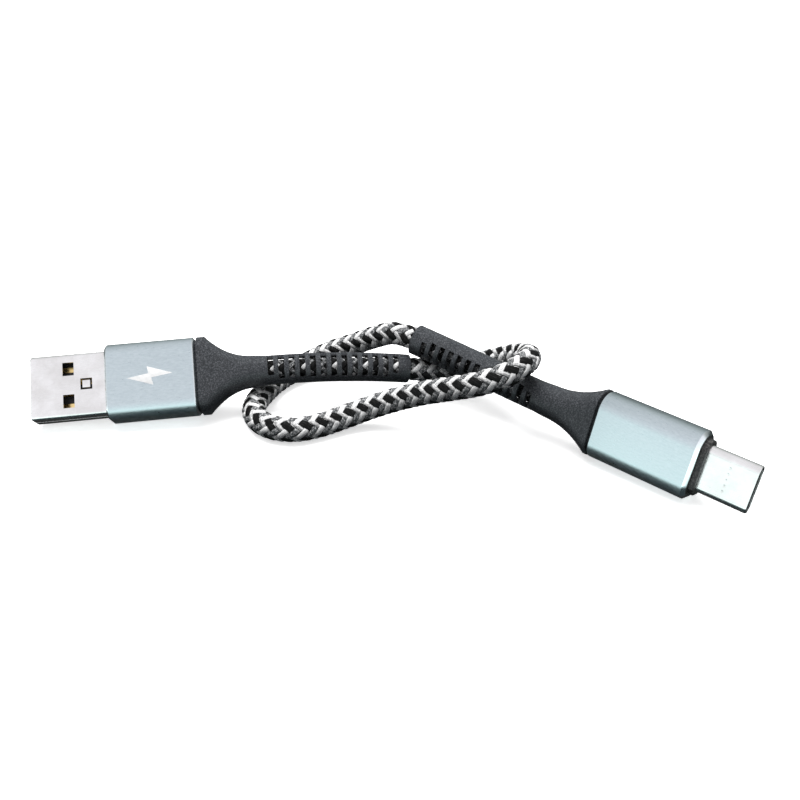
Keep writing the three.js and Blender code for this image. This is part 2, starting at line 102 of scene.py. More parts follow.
@dataclass(frozen=True)
class Pose:
    """Where a plug lies, and how its strain relief bends away from it."""

    x: float
    y: float
    yaw: float
    pitch: float
    roll: float
    bend: tuple[tuple[float, float, float], ...]  # distance behind, turn, climb
    step: float = 0.05

    def origin(self, sleeve: "SleeveSize") -> np.ndarray:
        """The middle of the sleeve's back edge, in millimetres."""
        turn = math.radians(self.roll)
        stand = (sleeve.width / 2 - sleeve.radius) * abs(math.sin(turn)) + sleeve.radius
        stand += (sleeve.height / 2 - sleeve.radius) * abs(math.cos(turn))
        rise = sleeve.length * math.sin(math.radians(self.pitch))
        return np.array([self.x, self.y, stand + rise]) + np.array(CENTRING)

    def euler(self) -> tuple[float, float, float]:
        """The plug's own turn, for a Mapping node."""
        return (math.radians(self.roll), math.radians(self.pitch), math.radians(self.yaw))

    def axes_behind(self, distance: np.ndarray) -> np.ndarray:
        """The strain relief's axes at distances behind the sleeve.

        Args:
            distance: Distances in millimetres, zero or more.

        Returns:
            An array of shape (count, 3, 3), as rotation_columns gives it.
        """
        stops = np.array([(0.0, 0.0, 0.0), *self.bend])
        turn = np.interp(distance, stops[:, 0], stops[:, 1])
        climb = np.interp(distance, stops[:, 0], stops[:, 2])
        return rotation_columns(
            np.radians(self.yaw + turn), np.radians(self.pitch + climb), math.radians(self.roll))

    def place(self, points: np.ndarray, sleeve: "SleeveSize") -> np.ndarray:
        """Takes points of the straight plug to their place in the bent one.

        Args:
            points: Points in the plug's own frame, in millimetres.
            sleeve: The sleeve that the plug stands on.

        Returns:
            The points in the object's frame, in metres.
        """
        behind = np.clip(-points[:, 0], 0.0, None)
        reach = np.arange(0.0, behind.max() + 2 * self.step, self.step)
        middles = (reach[:-1] + reach[1:]) / 2
        strides = -self.step * self.axes_behind(middles)[:, :, 0]
        line = np.vstack([np.zeros(3), np.cumsum(strides, axis=0)])
        spine = np.stack([np.interp(behind, reach, line[:, k]) for k in range(3)], axis=-1)
        ahead = points.copy()
        ahead[:, 0] = np.clip(points[:, 0], 0.0, None)
        turned = np.einsum("nij,nj->ni", self.axes_behind(behind), ahead)
        return (self.origin(sleeve) + spine + turned) * MM


# ---------------------------------------------------------------- sizes


@dataclass(frozen=True)
class SleeveSize:
    """A metal sleeve: a rounded tube with a chamfer at each end."""

    width: float
    height: float
    length: float
    radius: float
    wall: float
    front: float
    back: float


@dataclass(frozen=True)
class ShellSize:
    """A plated shell: a thin rounded tube from start to tip."""

    width: float
    height: float
    radius: float
    wall: float
    start: float
    tip: float


@dataclass(frozen=True)
class Station:
    """One cross-section of a lofted piece."""

    x: float
    width: float
    height: float
    radius: float

    def shrunk(self, inset: float, x: float) -> "Station":
        """The same section drawn in by inset, at another x."""
        radius = max(self.radius - inset, 0.02)
        return Station(x, self.width - 2 * inset, self.height - 2 * inset, radius)


# ---------------------------------------------------------------- modelling


def deselect() -> None:
    """Leaves edit mode and selects nothing."""
    if bpy.context.object and bpy.context.object.mode != "OBJECT":
        bpy.ops.object.mode_set(mode="OBJECT")
    bpy.ops.object.select_all(action="DESELECT")


def choose(piece: bpy.types.Object) -> None:
    """Makes one object the only selected and the active one."""
    deselect()
    piece.select_set(True)
    bpy.context.view_layer.objects.active = piece


def outline(station: Station, per_corner: int) -> list[tuple[float, float]]:
    """A rounded rectangle as points (y, z), counter-clockwise seen from the tip."""
    y = station.width / 2 - station.radius
    z = station.height / 2 - station.radius
    points = []
    for corner, (side_y, side_z) in enumerate(((1, 1), (-1, 1), (-1, -1), (1, -1))):
        for k in range(per_corner):
            angle = (corner + k / (per_corner - 1)) * math.pi / 2
            points.append((
                side_y * y + station.radius * math.cos(angle),
                side_z * z + station.radius * math.sin(angle)))
    if y < 1e-6 and z < 1e-6:  # a circle: spread the points evenly, so that none coincide
        count = len(points)
        angles = [(k - (per_corner - 1) / 2 + 0.5) * 2 * math.pi / count for k in range(count)]
        shift = math.pi / 4 - angles[per_corner // 2] + math.pi / count
        points = [
            (station.radius * math.cos(a + shift), station.radius * math.sin(a + shift))
            for a in angles]
    return points


def face_outward() -> None:
    """Turns all faces of the edited mesh outward and leaves edit mode."""
    bpy.ops.mesh.select_all(action="SELECT")
    bpy.ops.mesh.normals_make_consistent(inside=False)
    bpy.ops.object.mode_set(mode="OBJECT")


def loft(name: str, stations: list[Station], per_corner: int = 12) -> bpy.types.Object:
    """Extrudes a ring from section to section and joins the last one to the first.

    Args:
        name: The new piece's name.
        stations: The sections in order, out along the outside and back inside.
        per_corner: Points on each rounded corner.

    Returns:
        The piece, in the plug's own frame and in millimetres.
    """
    deselect()
    bpy.ops.mesh.primitive_circle_add(vertices=4 * per_corner, radius=1.0, location=(0, 0, 0))
    piece = bpy.context.object
    piece.name = piece.data.name = name
    bpy.ops.object.mode_set(mode="EDIT")
    mesh = bmesh.from_edit_mesh(piece.data)
    mark = mesh.verts.layers.int.new("ring_index")
    mesh.verts.ensure_lookup_table()
    for k, vertex in enumerate(mesh.verts):
        vertex[mark] = k
    for number, station in enumerate(stations):
        if number:
            bpy.ops.mesh.extrude_region_move()
        mesh = bmesh.from_edit_mesh(piece.data)
        mark = mesh.verts.layers.int["ring_index"]
        points = outline(station, per_corner)
        for vertex in mesh.verts:
            if vertex.select:
                y, z = points[vertex[mark]]
                vertex.co = (station.x, y, z)
        bmesh.update_edit_mesh(piece.data)
    bpy.ops.mesh.select_all(action="DESELECT")
    mesh = bmesh.from_edit_mesh(piece.data)
    for edge in mesh.edges:
        if edge.is_boundary:
            edge.select_set(True)
    bmesh.update_edit_mesh(piece.data)
    bpy.ops.mesh.bridge_edge_loops()
    face_outward()
    layer = piece.data.attributes.get("ring_index")
    if layer:
        piece.data.attributes.remove(layer)
    return piece


def block(low: tuple[float, float, float], high: tuple[float, float, float]) -> bpy.types.Object:
    """A box between two corners, selected and active."""
    deselect()
    middle = [(a + b) / 2 for a, b in zip(low, high)]
    size = [b - a for a, b in zip(low, high)]
    bpy.ops.mesh.primitive_cube_add(size=1.0, location=(0, 0, 0))
    piece = bpy.context.object
    piece.data.transform(Matrix.Translation(middle) @ Matrix.Diagonal((*size, 1.0)))
    return piece


def round_upright_edges(piece: bpy.types.Object, offset: float, segments: int) -> None:
    """Bevels the edges of a block that run along z."""
    choose(piece)
    bpy.ops.object.mode_set(mode="EDIT")
    bpy.ops.mesh.select_all(action="DESELECT")
    mesh = bmesh.from_edit_mesh(piece.data)
    for edge in mesh.edges:
        along = (edge.verts[1].co - edge.verts[0].co).normalized()
        edge.select_set(abs(along.z) > 0.99)
    bmesh.update_edit_mesh(piece.data)
    bpy.ops.mesh.bevel(offset=offset, segments=segments, affect="EDGES")
    bpy.ops.object.mode_set(mode="OBJECT")


def cut(piece: bpy.types.Object, cutters: list[bpy.types.Object]) -> None:
    """Takes the cutters out of a piece and removes them.

    Args:
        piece: The piece that is cut.
        cutters: Closed shapes that don't touch one another.
    """
    choose(cutters[0])
    for cutter in cutters[1:]:
        cutter.select_set(True)
    if len(cutters) > 1:
        bpy.ops.object.join()
    tool = bpy.context.object
    choose(piece)
    boolean = piece.modifiers.new("cut", "BOOLEAN")
    boolean.operation = "DIFFERENCE"
    boolean.solver = "EXACT"
    boolean.object = tool
    bpy.ops.object.modifier_apply(modifier="cut")
    bpy.data.objects.remove(tool, do_unlink=True)


def soften(
        piece: bpy.types.Object, width: float, segments: int = 2, angle: float = 35.0,
        smooth: float = 40.0) -> None:
    """Rounds a piece's sharp edges a little, and shades the rest smooth.

    Args:
        piece: The piece to finish.
        width: The bevel's width in millimetres.
        segments: Faces across the bevel.
        angle: Edges sharper than this, in degrees, are rounded.
        smooth: Edges sharper than this, in degrees, still shade as edges.
    """
    choose(piece)
    bevel = piece.modifiers.new("soften", "BEVEL")
    bevel.width = width
    bevel.segments = segments
    bevel.limit_method = "ANGLE"
    bevel.angle_limit = math.radians(angle)
    bpy.ops.object.modifier_apply(modifier="soften")
    bpy.ops.object.shade_smooth_by_angle(angle=math.radians(smooth))


def hand_over(piece: bpy.types.Object, slot: str | None, *nodes: str) -> None:
    """Gives a piece to the frame: attaches it to its body and hides the CAD nodes it stands for."""
    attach(piece, CABLE_BODY)
    if nodes:
        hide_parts(*nodes)


def finish_piece(
        piece: bpy.types.Object, pose: Pose, sleeve: SleeveSize, slot: str | None,
        nodes: tuple[str, ...] = ()) -> None:
    """Moves a plug's piece to its place and hands it to the frame.

    Args:
        piece: The piece, modelled in the plug's own frame in millimetres.
        pose: Where the plug lies.
        sleeve: The sleeve that the plug stands on.
        slot: The record's material slot of its finish, or None where the record has none; not used.
        nodes: The CAD nodes that the piece stands for.
    """
    count = len(piece.data.vertices)
    points = np.empty(3 * count)
    piece.data.vertices.foreach_get("co", points)
    placed = pose.place(points.reshape(-1, 3), sleeve)
    piece.data.vertices.foreach_set("co", placed.ravel())
    piece.data.update()
    hand_over(piece, slot, *nodes)
    log.info("%s: %d faces, stands for %s", piece.name, len(piece.data.polygons), nodes or "a mark")


# ---------------------------------------------------------------- finishes


class Space(Enum):
    """What a pattern is laid out along."""

    OBJECT = "Object"
    SURFACE = "UV"


class Wiring:
    """A node tree, wired step by step."""

    def __init__(self, tree: bpy.types.NodeTree) -> None:
        """Keeps the tree."""
        self.tree = tree

    def add(self, kind: str, **settings: object) -> bpy.types.Node:
        """A new node with the given properties."""
        node = self.tree.nodes.new(kind)
        for key, value in settings.items():
            setattr(node, key, value)
        return node

    def link(self, source: bpy.types.NodeSocket, target: bpy.types.NodeSocket) -> None:
        """Joins two sockets."""
        self.tree.links.new(source, target)

    def ramp(
            self, value: bpy.types.NodeSocket, stops: Stops) -> bpy.types.NodeSocket:
        """Colours along a value.

        Args:
            value: The value, from 0 to 1.
            stops: Places and colours.

        Returns:
            The colour socket.
        """
        node = self.add("ShaderNodeValToRGB")
        elements = node.color_ramp.elements
        while len(elements) < len(stops):
            elements.new(0.5)
        for element, (place, colour) in zip(elements, stops):
            element.position = place
            element.color = (*colour, 1.0)
        self.link(value, node.inputs["Fac"])
        return node.outputs["Color"]

    def span(
            self, value: bpy.types.NodeSocket, source: tuple[float, float],
            target: tuple[float, float]) -> bpy.types.NodeSocket:
        """A value carried from one span to another."""
        node = self.add("ShaderNodeMapRange")
        for key, number in zip(("From Min", "From Max", "To Min", "To Max"), (*source, *target)):
            node.inputs[key].default_value = number
        self.link(value, node.inputs["Value"])
        return node.outputs["Result"]

    def blend(
            self, share: bpy.types.NodeSocket, first: bpy.types.NodeSocket,
            second: bpy.types.NodeSocket) -> bpy.types.NodeSocket:
        """A colour that goes from the first to the second with the share."""
        node = self.add("ShaderNodeMix", data_type="RGBA")
        self.link(share, node.inputs["Factor"])
        self.link(first, node.inputs[6])
        self.link(second, node.inputs[7])
        return node.outputs[2]


class Nodes(Wiring):
    """A material's nodes round one Principled shader."""

    def __init__(self, name: str) -> None:
        """Starts the material."""
        self.material = bpy.data.materials.new(name)
        self.material.use_nodes = True
        super().__init__(self.material.node_tree)
        self.shader = self.tree.nodes["Principled BSDF"]

    def coordinates(
            self, space: Space, scale: tuple[float, float, float] = (1, 1, 1),
            pose: Pose | None = None, sleeve: SleeveSize | None = None) -> bpy.types.NodeSocket:
        """Pattern coordinates, turned to a plug's own frame if a pose is given.

        Args:
            space: What the pattern is laid out along.
            scale: Stretch along each axis.
            pose: The plug whose frame the pattern follows.
            sleeve: That plug's sleeve.

        Returns:
            The socket that gives the coordinates.
        """
        source = self.add("ShaderNodeTexCoord").outputs[space.value]
        if pose is not None and sleeve is not None:
            turn = self.add("ShaderNodeMapping", vector_type="TEXTURE")
            turn.inputs["Location"].default_value = tuple(pose.origin(sleeve) * MM)
            turn.inputs["Rotation"].default_value = pose.euler()
            self.link(source, turn.inputs["Vector"])
            source = turn.outputs["Vector"]
        stretch = self.add("ShaderNodeMapping")
        stretch.inputs["Scale"].default_value = scale
        self.link(source, stretch.inputs["Vector"])
        return stretch.outputs["Vector"]

    def noise(
            self, vector: bpy.types.NodeSocket, scale: float, detail: float = 2.0,
            roughness: float = 0.5) -> bpy.types.NodeSocket:
        """A noise pattern's value."""
        node = self.add("ShaderNodeTexNoise")
        node.inputs["Scale"].default_value = scale
        node.inputs["Detail"].default_value = detail
        node.inputs["Roughness"].default_value = roughness
        self.link(vector, node.inputs["Vector"])
        return node.outputs["Fac"]

    def bump(self, height: bpy.types.NodeSocket, distance: float, strength: float = 1.0) -> None:
        """Raises the surface by a height pattern; distance is in metres."""
        node = self.add("ShaderNodeBump")
        node.inputs["Strength"].default_value = strength
        node.inputs["Distance"].default_value = distance
        self.link(height, node.inputs["Height"])
        self.link(node.outputs["Normal"], self.shader.inputs["Normal"])

    def paint(self, pattern: bpy.types.NodeSocket, stops: Stops) -> None:
        """Colours the surface along a pattern."""
        self.link(self.ramp(pattern, stops), self.shader.inputs["Base Color"])

    def roughen(self, pattern: bpy.types.NodeSocket, target: tuple[float, float]) -> None:
        """Varies the roughness along a pattern's middle part."""
        self.link(self.span(pattern, (0.3, 0.7), target), self.shader.inputs["Roughness"])

    def set(self, **values: float) -> None:
        """Sets plain values on the shader; underscores stand for spaces."""
        for key, value in values.items():
            self.shader.inputs[key.replace("_", " ")].default_value = value


@dataclass(frozen=True)
class Plain:
    """A moulded or painted finish with a fine grain and faint cloudy variation."""

    name: str
    dark: Colour
    light: Colour
    roughness: tuple[float, float] = (0.4, 0.55)
    grain: float = 4000.0
    relief: float = 0.00001
    specular: float = 0.5

    def material(self) -> bpy.types.Material:
        """Builds the material."""
        nodes = Nodes(self.name)
        place = nodes.coordinates(Space.OBJECT)
        cloud = nodes.noise(place, self.grain / 6, 3.0)
        fine = nodes.noise(place, self.grain, 2.0, 0.6)
        nodes.paint(cloud, ((0.3, self.dark), (0.7, self.light)))
        nodes.roughen(fine, self.roughness)
        nodes.bump(fine, self.relief, 0.6)
        nodes.set(Specular_IOR_Level=self.specular)
        return nodes.material


@dataclass(frozen=True)
class Plated:
    """Bright metal with faint drawing lines and smudges."""

    name: str
    dull: Colour
    bright: Colour
    roughness: tuple[float, float] = (0.16, 0.3)
    lines: float = 2500.0

    def material(
            self, pose: Pose | None = None, sleeve: SleeveSize | None = None) -> bpy.types.Material:
        """Builds the material, with its drawing lines along the plug if one is given."""
        nodes = Nodes(self.name)
        place = nodes.coordinates(Space.OBJECT, (1, 1, 1), pose, sleeve)
        drawn = nodes.coordinates(Space.OBJECT, (0.04, 1, 1), pose, sleeve)
        smudge = nodes.noise(place, 220.0, 4.0, 0.6)
        line = nodes.noise(drawn, self.lines, 2.0)
        nodes.paint(smudge, ((0.35, self.dull), (0.6, self.bright)))
        nodes.roughen(line, self.roughness)
        nodes.bump(line, 0.000004, 0.35)
        nodes.set(Metallic=1.0)
        return nodes.material


@dataclass(frozen=True)
class Anodised:
    """Satin bead-blasted and anodised aluminium: fine sparkling grain, cool tint."""

    name: str
    deep: Colour = (0.53, 0.61, 0.63)
    pale: Colour = (0.64, 0.715, 0.735)
    roughness: tuple[float, float] = (0.27, 0.40)
    grain: float = 9000.0

    def material(self, pose: Pose, sleeve: SleeveSize) -> bpy.types.Material:
        """Builds the material."""
        nodes = Nodes(self.name)
        place = nodes.coordinates(Space.OBJECT, (1, 1, 1), pose, sleeve)
        stretched = nodes.coordinates(Space.OBJECT, (0.35, 1, 1), pose, sleeve)
        blast = nodes.noise(place, self.grain, 2.0, 0.6)
        cloud = nodes.noise(stretched, 3800.0, 3.0, 0.65)
        nodes.paint(cloud, ((0.3, self.deep), (0.7, self.pale)))
        nodes.roughen(cloud, self.roughness)
        nodes.bump(blast, 0.000006, 0.5)
        nodes.set(Metallic=1.0)
        return nodes.material


@dataclass(frozen=True)
class Elastomer:
    """Matt moulded rubber with a spark-eroded stipple whose tips catch the light."""

    name: str
    dark: Colour = (0.015, 0.017, 0.020)
    light: Colour = (0.100, 0.107, 0.117)
    stipple: float = 4200.0
    relief: float = 0.00003
    sparkle: float = 0.3

    def material(self) -> bpy.types.Material:
        """Builds the material."""
        nodes = Nodes(self.name)
        place = nodes.coordinates(Space.OBJECT)
        stipple = nodes.noise(place, self.stipple, 2.0, 0.55)
        cloud = nodes.noise(place, 500.0, 3.0)
        nodes.paint(stipple, ((0.45, self.dark), (0.72, self.light)))
        nodes.roughen(cloud, (0.55 - self.sparkle / 2, 0.58))
        nodes.bump(stipple, self.relief, 0.8)
        nodes.set(Specular_IOR_Level=0.45, Sheen_Weight=0.05, Sheen_Roughness=0.5)
        return nodes.material


@dataclass(frozen=True)
class Yarn:
    """A flat bundle of nylon filaments; the surface runs (across, millimetres along)."""

    name: str
    dark: Colour
    middle: Colour
    light: Colour
    fleck: float = 0.0
    share: float = 1.0  # its width over the even share of the cord's round
    sheen: float = 0.2
    gloss: float = 0.35

    def material(self) -> bpy.types.Material:
        """Builds the material."""
        nodes = Nodes(self.name)
        along = nodes.coordinates(Space.SURFACE, (1.0, 0.12, 1.0))
        filament = nodes.noise(along, 9.0, 2.0, 0.6)
        flecks = nodes.noise(nodes.coordinates(Space.SURFACE, (1.0, 0.5, 1.0)), 5.0, 2.0, 0.7)
        mix = nodes.add("ShaderNodeMix", data_type="FLOAT")
        mix.inputs["Factor"].default_value = self.fleck
        nodes.link(filament, mix.inputs["A"])
        nodes.link(flecks, mix.inputs["B"])
        nodes.paint(
            mix.outputs["Result"], ((0.32, self.dark), (0.5, self.middle), (0.66, self.light)))
        nodes.roughen(filament, (0.42, 0.6))
        nodes.bump(filament, 0.00004, 0.9)
        nodes.set(Specular_IOR_Level=self.gloss, Sheen_Weight=self.sheen, Sheen_Roughness=0.4)
        return nodes.material


def grey(value: float, warm: float = 0.0) -> Colour:
    """A grey, a little warmer or cooler than neutral."""
    return (value * (1 + warm), value, value * (1 - warm))


BLACK_YARN = Yarn("black_yarn", grey(0.002), grey(0.005), grey(0.02), 0.0, 1.28, 0.0, 0.12)
FLECKED_YARN = Yarn("flecked_yarn", grey(0.06), grey(0.55), grey(0.95), 0.7, 0.70)
WHITE_YARN = Yarn("white_yarn", grey(0.25), grey(0.85), grey(0.98), 0.3)
HEATHER_YARN = Yarn("heather_yarn", grey(0.006), grey(0.09, -0.05), grey(0.70), 0.85)
CORE = Plain("cord_core", grey(0.01), grey(0.03), (0.7, 0.85))

NICKEL = Plated("bright_nickel", (0.80, 0.785, 0.76), (0.93, 0.92, 0.90))
GOLD = Plated("gold_plate", (0.80, 0.56, 0.22), (0.95, 0.72, 0.34))
SPRING = Plated("spring_steel", (0.55, 0.55, 0.54), (0.72, 0.72, 0.71), (0.2, 0.35))
CHAMFER = Plated("polished_chamfer", (0.82, 0.86, 0.87), (0.95, 0.97, 0.98), (0.10, 0.18), 5000.0)
PRINT = Plain("white_print", (0.80, 0.81, 0.81), (0.92, 0.92, 0.92), (0.35, 0.5), 9000.0, 0.000003)
BLACK_PLASTIC = Plain("black_moulding", (0.010, 0.010, 0.011), (0.028, 0.028, 0.030), (0.3, 0.5))
BOSS_PLASTIC = Elastomer(
    "speckled_moulding", (0.010, 0.010, 0.010), (0.12, 0.115, 0.11), 3600.0, 0.00005, 0.4)
BOARD = Plain("green_laminate", (0.02, 0.09, 0.04), (0.04, 0.17, 0.07), (0.2, 0.3))
RESISTOR = Plain("chip_glaze", (0.01, 0.01, 0.01), (0.03, 0.03, 0.03), (0.15, 0.25))
LEAD_COLOURS = {
    "red": ((0.45, 0.03, 0.02), (0.62, 0.06, 0.04)),
    "white": ((0.68, 0.67, 0.63), (0.82, 0.81, 0.77)),
    "green": ((0.02, 0.20, 0.06), (0.04, 0.32, 0.10)),
    "black": ((0.008, 0.008, 0.009), (0.02, 0.02, 0.022)),
}


# ---------------------------------------------------------------- the cord's braid


@dataclass
class Braid:
    """A tubular braid: flat yarn bundles wound both ways, two over and two under.

    Half of the carriers wind one way and half the other, which makes bands that show one
    way's yarns and bands that show the other's.
    """

    diameter: float
    each_way: int = 8
    lay: float = 11.5  # length of one turn of a carrier
    thickness: float = 0.30
    cover: float = 0.98  # width of a bundle over the space it has
    rise: float = 0.12  # how far over and under it swings from the middle layer
    per_cell: int = 4  # steps from one crossing to the next
    start: float = 0.0  # where the pattern starts round the cord, in turns
    core_sides: int = 20
    forward: tuple[Yarn, ...] = (BLACK_YARN, FLECKED_YARN)
    backward: tuple[Yarn, ...] = (WHITE_YARN, HEATHER_YARN)
    section: tuple[tuple[float, float], ...] = (
        (-0.5, -0.35), (-0.47, 0.12), (-0.25, 0.42), (0.0, 0.5), (0.25, 0.42), (0.47, 0.12),
        (0.5, -0.35))

    def strand(
            self, line: np.ndarray, frames: np.ndarray, along: np.ndarray, number: int, way: int,
            offset: int, share: float) -> tuple[np.ndarray, np.ndarray, np.ndarray]:
        """One carrier's ribbon.

        Args:
            line: Centre points in millimetres.
            frames: The two cross axes at each point, shape (count, 2, 3).
            along: Length along the cord at each point, in millimetres.
            number: The carrier's number.
            way: 1 or -1 for the way that it winds.
            offset: The index of its first vertex.
            share: Its width over the even share.

        Returns:
            Its vertices, its faces and its surface coordinates by vertex.
        """
        count, sides = len(along), len(self.section)
        middle = self.diameter / 2 - self.thickness / 2 - self.rise
        column = 2 * number * way + way * 2 * self.each_way * along / self.lay
        wave = np.cos(2 * np.pi * (column - 0.5) / 4)
        height = self.rise * np.clip(1.7 * wave, -1, 1) * (1 if way > 0 else -1)
        turns = column / (2 * self.each_way) + self.start
        angle = 2 * np.pi * turns
        slope = math.atan2(2 * math.pi * middle, self.lay)
        width = share * self.cover * 2 * math.pi * middle / self.each_way * math.cos(slope)
        vertices = np.empty((count, sides, 3))
        u = frames[:, 0, :]
        v = frames[:, 1, :]
        tangent = np.cross(u, v)
        radial = np.cos(angle)[:, None] * u + np.sin(angle)[:, None] * v
        around = -np.sin(angle)[:, None] * u + np.cos(angle)[:, None] * v
        side = math.cos(slope) * around - way * math.sin(slope) * tangent
        for k, (across, up) in enumerate(self.section):
            spread = across * width
            lift = middle + height + up * self.thickness
            # The ribbon wraps the cord: its edges follow the round, not a flat.
            drop = lift - np.sqrt(np.maximum(lift**2 - (spread * math.cos(slope)) ** 2, 0))
            vertices[:, k] = line + (lift - drop)[:, None] * radial + spread * side
        grid = np.arange(count * sides).reshape(count, sides) + offset
        following = np.roll(grid, -1, 1)
        faces = np.stack([grid[:-1], following[:-1], following[1:], grid[1:]], axis=-1)
        length = along / math.cos(slope)
        surface = np.empty((count, sides, 2))
        apart = 3.0 * number + (40.0 if way < 0 else 0.0)  # so that no two bundles look alike
        surface[:, :, 0] = np.arange(sides)[None, :] / (sides - 1) + apart
        surface[:, :, 1] = length[:, None]
        return vertices.reshape(-1, 3), faces.reshape(-1, 4), surface.reshape(-1, 2)

    def build(self, name: str, line: np.ndarray, frames: np.ndarray) -> bpy.types.Object:
        """Braids the cord along a line.

        Args:
            name: The piece's name.
            line: Evenly spaced centre points in millimetres.
            frames: The two cross axes at each point, shape (count, 2, 3).

        Returns:
            The piece, in the frame of the line and in metres.
        """
        along = np.concatenate([[0], np.cumsum(np.linalg.norm(np.diff(line, axis=0), axis=1))])
        vertices, faces, surface, finish, caps = [], [], [], [], []
        offset = 0
        yarns = [*self.forward, *self.backward]
        for way, kinds, first in ((1, self.forward, 0), (-1, self.backward, len(self.forward))):
            for number in range(self.each_way):
                share = kinds[number % len(kinds)].share
                points, quads, places = self.strand(line, frames, along, number, way, offset, share)
                quads = quads[:, ::-1]
                vertices.append(points)
                faces.append(quads)
                surface.append(places)
                finish += [first + number % len(kinds)] * len(quads)
                sides = len(self.section)
                caps.append((list(range(offset, offset + sides)), first + number % len(kinds)))
                last = offset + len(points) - sides
                caps.append((list(range(last + sides - 1, last - 1, -1)), first + number % len(kinds)))
                offset += len(points)
        core_radius = self.diameter / 2 - self.thickness - 2 * self.rise + 0.05
        angles = np.arange(self.core_sides) * 2 * np.pi / self.core_sides
        rings = line[::self.per_cell], frames[::self.per_cell]
        core = rings[0][:, None, :] + core_radius * (
            np.cos(angles)[None, :, None] * rings[1][:, None, 0, :]
            + np.sin(angles)[None, :, None] * rings[1][:, None, 1, :])
        grid = np.arange(len(rings[0]) * self.core_sides).reshape(-1, self.core_sides) + offset
        around = np.roll(grid, -1, 1)
        faces.append(np.stack([grid[:-1], around[:-1], around[1:], grid[1:]], axis=-1).reshape(-1, 4))
        vertices.append(core.reshape(-1, 3))
        surface.append(np.zeros((core.size // 3, 2)))
        finish += [len(yarns)] * len(faces[-1])
        caps.append((list(grid[0][::-1]), len(yarns)))
        caps.append((list(grid[-1]), len(yarns)))
        mesh = bpy.data.meshes.new(name)
        quads = np.concatenate(faces).tolist()
        mesh.from_pydata(
            (np.concatenate(vertices) * MM).tolist(), [], quads + [[int(i) for i in c] for c, _ in caps])
        mesh.polygons.foreach_set("material_index", finish + [index for _, index in caps])
        layer = mesh.uv_layers.new(name="yarn")
        corner = np.empty(len(mesh.loops), dtype=np.int32)
        mesh.loops.foreach_get("vertex_index", corner)
        layer.data.foreach_set("uv", np.concatenate(surface)[corner].ravel())
        mesh.polygons.foreach_set("use_smooth", [True] * len(mesh.polygons))
        mesh.update()
        piece = bpy.data.objects.new(name, mesh)
        bpy.context.collection.objects.link(piece)
        return piece

    def dress(self, piece: bpy.types.Object, finishes: dict[str, bpy.types.Material]) -> None:
        """Gives each carrier its yarn and the inside its core."""
        for yarn in (*self.forward, *self.backward):
            piece.data.materials.append(finishes[yarn.name])
        piece.data.materials.append(finishes[CORE.name])


def smooth_route(points: np.ndarray, count: int) -> np.ndarray:
    """Evenly spaced points on a centripetal Catmull-Rom curve.

    Args:
        points: The route's points.
        count: How many points to give.

    Returns:
        The points, from the route's first to its last.
    """
    ends = np.vstack([2 * points[0] - points[1], points, 2 * points[-1] - points[-2]])
    fine = []
    per_span = 60
    for k in range(1, len(ends) - 2):
        p0, p1, p2, p3 = ends[k - 1:k + 3]
        gaps = [np.linalg.norm(b - a) ** 0.5 for a, b in ((p0, p1), (p1, p2), (p2, p3))]
        leave = (p1 - p0) / gaps[0] - (p2 - p0) / (gaps[0] + gaps[1]) + (p2 - p1) / gaps[1]
        arrive = (p2 - p1) / gaps[1] - (p3 - p1) / (gaps[1] + gaps[2]) + (p3 - p2) / gaps[2]
        leave, arrive = leave * gaps[1], arrive * gaps[1]
        t = (np.arange(per_span) / per_span)[:, None]
        fine.append(
            p1 + leave * t + (3 * (p2 - p1) - 2 * leave - arrive) * t**2
            + (2 * (p1 - p2) + leave + arrive) * t**3)
    fine = np.vstack([*fine, points[-1:]])
    length = np.concatenate([[0], np.cumsum(np.linalg.norm(np.diff(fine, axis=0), axis=1))])
    even = np.linspace(0, length[-1], count)
    return np.stack([np.interp(even, length, fine[:, k]) for k in range(3)], axis=-1)


def carried_frames(line: np.ndarray) -> np.ndarray:
    """Cross axes that follow a line without turning about it.

    Args:
        line: The line's points.

    Returns:
        The two cross axes at each point, shape (count, 2, 3).
    """
    tangents = np.gradient(line, axis=0)
    tangents /= np.linalg.norm(tangents, axis=1)[:, None]
    first = np.cross((0.0, 0.0, 1.0), tangents[0])
    axis = first / np.linalg.norm(first)
    frames = np.empty((len(line), 2, 3))
    for k, tangent in enumerate(tangents):
        axis = axis - tangent * axis.dot(tangent)
        axis = axis / np.linalg.norm(axis)
        frames[k, 0] = axis
        frames[k, 1] = np.cross(tangent, axis)
    return frames


@dataclass
class FreeCord:
    """The braided cord between the two strain reliefs."""

    diameter: float = 4.5
    steps_per_mm: float = 5.56

    def build(self, finishes: dict[str, bpy.types.Material]) -> bpy.types.Object:
        route = np.array(CORD_ROUTE) / MM + np.array(CENTRING)
        rough = smooth_route(route, 400)
        length = float(np.linalg.norm(np.diff(rough, axis=0), axis=1).sum())
        line = smooth_route(route, int(length * self.steps_per_mm))
        braid = Braid(self.diameter)
        cord = braid.build("free_cord_braid", line, carried_frames(line))
        braid.dress(cord, finishes)
        hand_over(cord, "nylon_braid", "braided_cord")
        path = (line[::8] * MM).tolist()
        path.append((line[-1] * MM).tolist())
        log.info("%s: %.1f mm long, %d faces", cord.name, length, len(cord.data.polygons))
        return cord


# ---------------------------------------------------------------- the strain reliefs


